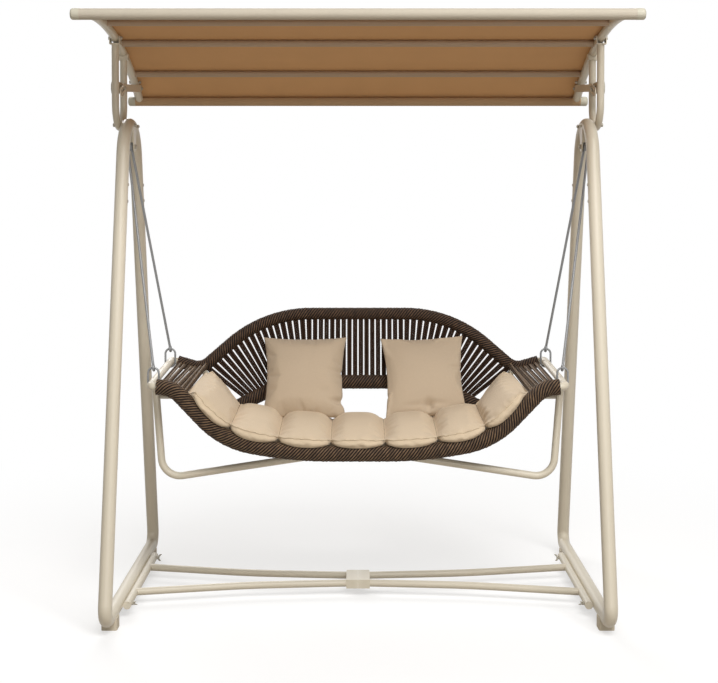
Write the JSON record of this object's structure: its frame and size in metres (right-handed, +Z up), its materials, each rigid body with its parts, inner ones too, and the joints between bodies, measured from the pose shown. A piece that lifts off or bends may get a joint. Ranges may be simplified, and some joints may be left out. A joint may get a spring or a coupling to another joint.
{
  "type": "garden swing",
  "caption": "Free-standing garden swing: A-frame stand, rope-strung hanging bench with channelled cushion and pillows, and an arched tilting canopy.",
  "frame": {"origin": "middle of the bounding box's footprint, on the floor", "axes": "+Z up, +X to the right seen from the front, -Y towards the front where people get on"},
  "size_m": [1.97, 1.2628, 2.2222],
  "materials": {
    "cream_metal": "satin",
    "steel": "satin",
    "rope": "satin",
    "cushion_fabric": "matte",
    "canopy_fabric": "matte",
    "moulded_plastic": "matte",
    "bush_plastic": "satin"
  },
  "bodies": {
    "frame": {"left_top_hoop": "cream_metal", "right_top_hoop": "cream_metal", "left_front_leg": "cream_metal", "right_front_leg": "cream_metal", "left_rear_leg": "cream_metal", "right_rear_leg": "cream_metal", "foot_pads": "moulded_plastic", "joint_sleeves": "cream_metal", "joint_screws": "steel", "left_spreader": "cream_metal", "right_spreader": "cream_metal", "spreader_wing_bolts": "steel", "spreader_centre_bolts": "steel", "left_swing_bracket": "cream_metal", "right_swing_bracket": "cream_metal", "left_pivot_pin": "steel", "right_pivot_pin": "steel", "left_canopy_post": "cream_metal", "right_canopy_post": "cream_metal", "post_bolts": "steel", "left_clamp_bolt": "steel", "right_clamp_bolt": "steel", "tilt_pivot_bolts": "steel"},
    "canopy": {"left_canopy_rail": "cream_metal", "right_canopy_rail": "cream_metal", "canopy_front_bar": "cream_metal", "canopy_rear_bar": "cream_metal", "front_crossbar": "cream_metal", "middle_crossbar": "cream_metal", "rear_crossbar": "cream_metal", "canopy_bar_caps": "moulded_plastic", "crossbar_screws": "steel", "left_tilt_quadrant": "cream_metal", "right_tilt_quadrant": "cream_metal", "quadrant_bolts": "steel", "canopy_fabric": "canopy_fabric"},
    "left_knob": {"left_tilt_knob": "moulded_plastic"},
    "right_knob": {"right_tilt_knob": "moulded_plastic"},
    "seat": {"left_front_rod": "steel", "right_front_rod": "steel", "left_rear_rod": "steel", "right_rear_rod": "steel", "left_pivot_bush": "bush_plastic", "right_pivot_bush": "bush_plastic", "hanger_links": "steel", "seat_front_rim": "cream_metal", "seat_back_rim": "cream_metal", "seat_rear_rail": "cream_metal", "back_lower_bar": "cream_metal", "seat_support_arch": "cream_metal", "front_rim_wrap": "rope", "back_rim_wrap": "rope", "lower_bar_wrap": "rope", "back_strands": "rope", "seat_strands": "rope", "arm_strands": "rope", "seat_cushion": "cushion_fabric", "left_pillow": "cushion_fabric", "right_pillow": "cushion_fabric"}
  },
  "joints": [
    {"name": "seat_swing", "type": "hinge", "parent": "frame", "child": "seat", "pos_m": [0, 0.05072, 1.757], "axis": [1, 0, 0], "range_deg": [-22, 22]},
    {"name": "canopy_tilt", "type": "hinge", "parent": "frame", "child": "canopy", "pos_m": [0, -0.03228, 2.17237], "axis": [1, 0, 0], "range_deg": [0, 20]},
    {"name": "left_knob_turn", "type": "hinge", "parent": "frame", "child": "left_knob", "pos_m": [-0.9363, 0.05922, 1.988], "axis": [1, 0, 0], "continuous": true},
    {"name": "right_knob_turn", "type": "hinge", "parent": "frame", "child": "right_knob", "pos_m": [0.9363, 0.05922, 1.988], "axis": [1, 0, 0], "continuous": true}
  ]
}
